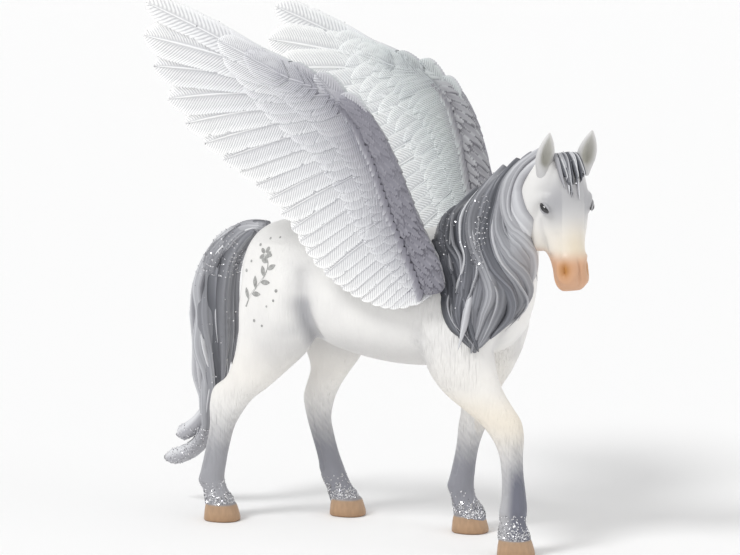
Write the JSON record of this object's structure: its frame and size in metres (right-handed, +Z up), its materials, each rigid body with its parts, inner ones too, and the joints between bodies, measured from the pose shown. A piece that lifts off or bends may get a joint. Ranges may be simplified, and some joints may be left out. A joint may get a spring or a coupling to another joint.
{
  "type": "winged horse figurine",
  "caption": "Toy figurine of a walking winged horse that stands on its own hooves, head turned aside and feathered wings raised, to play with or display.",
  "frame": {"origin": "on the ground, under the middle of the bounding box", "axes": "+X the way the horse walks, +Y to the horse's left, +Z up"},
  "size_m": [0.1355, 0.0766, 0.1459],
  "materials": {
    "body_paint": "satin white paint, with blue-grey hair and lower legs, tan hooves and a peach muzzle",
    "wing_paint": "satin paint that fades from blue-grey at the leading edge to white at the tips"
  },
  "bodies": {
    "root": {"body": "body_paint", "wing_right": "wing_paint", "wing_left": "wing_paint"}
  },
  "joints": []
}
